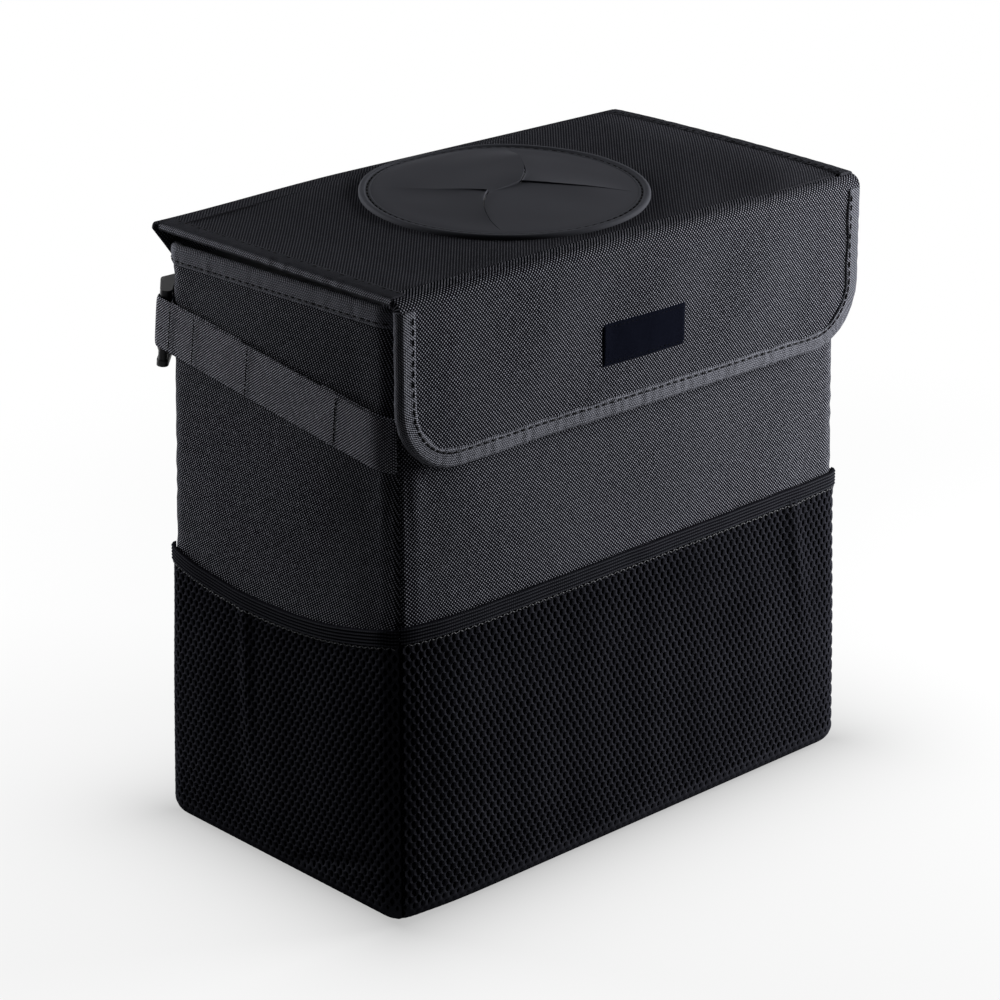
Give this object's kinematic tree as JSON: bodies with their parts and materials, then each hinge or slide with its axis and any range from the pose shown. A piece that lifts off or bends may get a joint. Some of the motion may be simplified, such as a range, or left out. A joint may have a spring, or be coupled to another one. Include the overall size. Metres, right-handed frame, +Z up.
{
  "type": "car trash bin",
  "caption": "Soft rectangular car litter bin with stiffened woven walls, a hinged lid and front flap, rubber petal port, net pockets and a buckled hanging strap.",
  "frame": {"origin": "centre of the base underside", "axes": "+Z up, front flap faces -Y, +X to the right seen from the front"},
  "size_m": [0.264, 0.1667, 0.2671],
  "materials": {
    "shell_weave": "matte plain weave polyester",
    "lid_weave": "matte plain weave polyester",
    "liner_film": "waterproof coated film",
    "stiff_board": "polyethylene board",
    "edge_tape": "ribbed binding tape",
    "pocket_net": "knitted net",
    "hem_elastic": "ribbed elastic",
    "strap_webbing": "woven webbing",
    "buckle_plastic": "moulded plastic",
    "petal_rubber": "satin rubber",
    "label_cloth": "blank woven label",
    "closing_tape": "hook and loop tape"
  },
  "bodies": {
    "bin": {"outer_shell": "shell_weave", "inner_liner": "liner_film", "front_board": "stiff_board", "back_board": "stiff_board", "left_board": "stiff_board", "right_board": "stiff_board", "base_board": "stiff_board", "rim_binding": "edge_tape", "front_pocket_mesh": "pocket_net", "left_pocket_mesh": "pocket_net", "right_pocket_mesh": "pocket_net", "front_pocket_elastic": "hem_elastic", "left_pocket_elastic": "hem_elastic", "right_pocket_elastic": "hem_elastic", "left_strap": "strap_webbing", "rear_strap": "strap_webbing", "buckle_socket": "buckle_plastic", "buckle_tongue": "buckle_plastic", "strap_slide": "buckle_plastic", "hinge_strip": "shell_weave", "wall_loop_tabs": "closing_tape"},
    "lid": {"lid_fabric": "lid_weave", "lid_board": "stiff_board", "lid_lining": "liner_film", "lid_binding": "edge_tape", "petal_disc": "petal_rubber"},
    "flap": {"flap_fabric": "lid_weave", "flap_board": "stiff_board", "flap_lining": "liner_film", "flap_binding": "edge_tape", "flap_label": "label_cloth", "flap_hook_tabs": "closing_tape"},
    "front_leaf": {"front_petal": "petal_rubber"},
    "back_leaf": {"back_petal": "petal_rubber"},
    "left_leaf": {"left_petal": "petal_rubber"},
    "right_leaf": {"right_petal": "petal_rubber"}
  },
  "joints": [
    {"name": "lid_hinge", "type": "hinge", "parent": "bin", "child": "lid", "pos_m": [0, 0.0717, 0.2628], "axis": [-1, 0, 0], "range_deg": [0, 180]},
    {"name": "flap_hinge", "type": "hinge", "parent": "lid", "child": "flap", "pos_m": [0, -0.0752, 0.262], "axis": [-1, 0, 0], "range_deg": [0, 180]},
    {"name": "front_petal_bend", "type": "hinge", "parent": "lid", "child": "front_leaf", "pos_m": [0, -0.03299, 0.26418], "axis": [-1, 0, 0], "range_deg": [0, 75], "stiffness_Nm_per_rad": 0.03},
    {"name": "back_petal_bend", "type": "hinge", "parent": "lid", "child": "back_leaf", "pos_m": [0, 0.04197, 0.26459], "axis": [1, 0, 0], "range_deg": [0, 75], "stiffness_Nm_per_rad": 0.03},
    {"name": "left_petal_bend", "type": "hinge", "parent": "lid", "child": "left_leaf", "pos_m": [-0.03748, 0.00449, 0.26438], "axis": [0, 1, 0.0054], "range_deg": [0, 75], "stiffness_Nm_per_rad": 0.03},
    {"name": "right_petal_bend", "type": "hinge", "parent": "lid", "child": "right_leaf", "pos_m": [0.03748, 0.00449, 0.26438], "axis": [0, -1, -0.0054], "range_deg": [0, 75], "stiffness_Nm_per_rad": 0.03}
  ]
}
